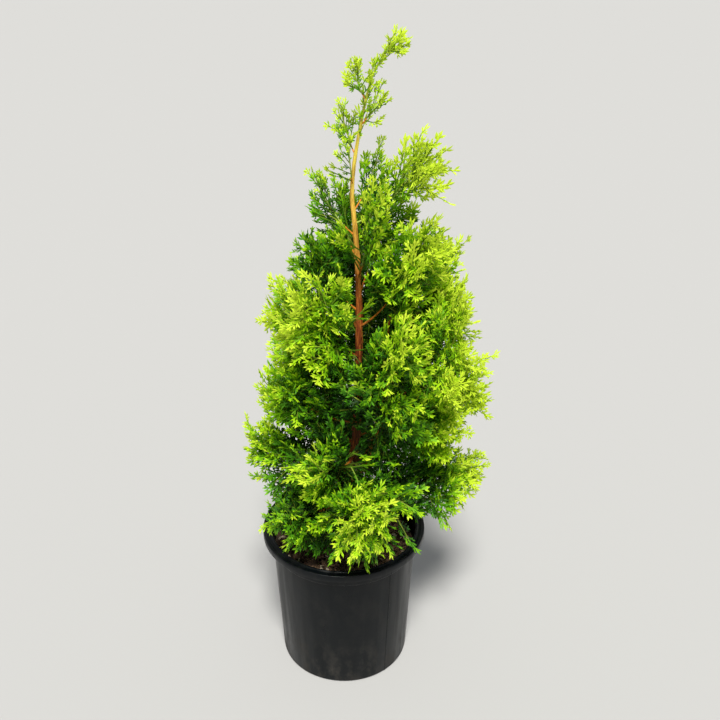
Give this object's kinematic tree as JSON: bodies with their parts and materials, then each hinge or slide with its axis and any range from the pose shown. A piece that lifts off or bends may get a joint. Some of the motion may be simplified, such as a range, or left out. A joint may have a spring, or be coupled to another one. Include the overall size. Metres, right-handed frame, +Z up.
{
  "type": "potted thuja",
  "caption": "Young upright evergreen with a leader, a side stem and flat fern-like foliage sprays, in a round black nursery pot filled with bark mulch.",
  "frame": {"origin": "centre of the pot's flat underside", "axes": "+Z up along the trunk, +X to the right and +Y away from the viewer of the reference picture, in which the plant is seen from -Y and above"},
  "size_m": [0.4717, 0.5041, 1.2413],
  "materials": {
    "pot": "blow-moulded black plastic with a satin sheen and light scuffs",
    "soil": "shredded pine-bark mulch, dry on top",
    "bark": "stringy reddish-brown bark, orange on the young wood",
    "foliage": "yellow-green scale leaves in flat sprays, with a slight sheen"
  },
  "bodies": {
    "root": {"bough_01": "bark", "bough_02": "bark", "bough_03": "bark", "bough_04": "bark", "bough_05": "bark", "bough_06": "bark", "bough_07": "bark", "bough_08": "bark", "bough_09": "bark", "bough_10": "bark", "bough_11": "bark", "bough_12": "bark", "bough_13": "bark", "bough_14": "bark", "bough_15": "bark", "bough_16": "bark", "bough_17": "bark", "bough_18": "bark", "bough_long_shoot": "bark", "bough_side_back": "bark", "bough_side_front": "bark", "bough_side_right": "bark", "foliage_01": "foliage", "foliage_02": "foliage", "foliage_03": "foliage", "foliage_04": "foliage", "foliage_05": "foliage", "foliage_06": "foliage", "foliage_07": "foliage", "foliage_08": "foliage", "foliage_09": "foliage", "foliage_10": "foliage", "foliage_11": "foliage", "foliage_12": "foliage", "foliage_13": "foliage", "foliage_14": "foliage", "foliage_15": "foliage", "foliage_16": "foliage", "foliage_17": "foliage", "foliage_18": "foliage", "foliage_19": "foliage", "foliage_20": "foliage", "foliage_21": "foliage", "foliage_22": "foliage", "foliage_leader_1": "foliage", "foliage_leader_2": "foliage", "foliage_leader_3": "foliage", "foliage_leader_4": "foliage", "foliage_leader_5": "foliage", "foliage_leader_6": "foliage", "foliage_leader_tip": "foliage", "foliage_long_shoot": "foliage", "foliage_side_back": "foliage", "foliage_side_front": "foliage", "foliage_side_right": "foliage", "foliage_side_tip": "foliage", "leader": "bark", "pot": "pot", "side_stem": "bark", "soil": "soil"}
  },
  "joints": []
}
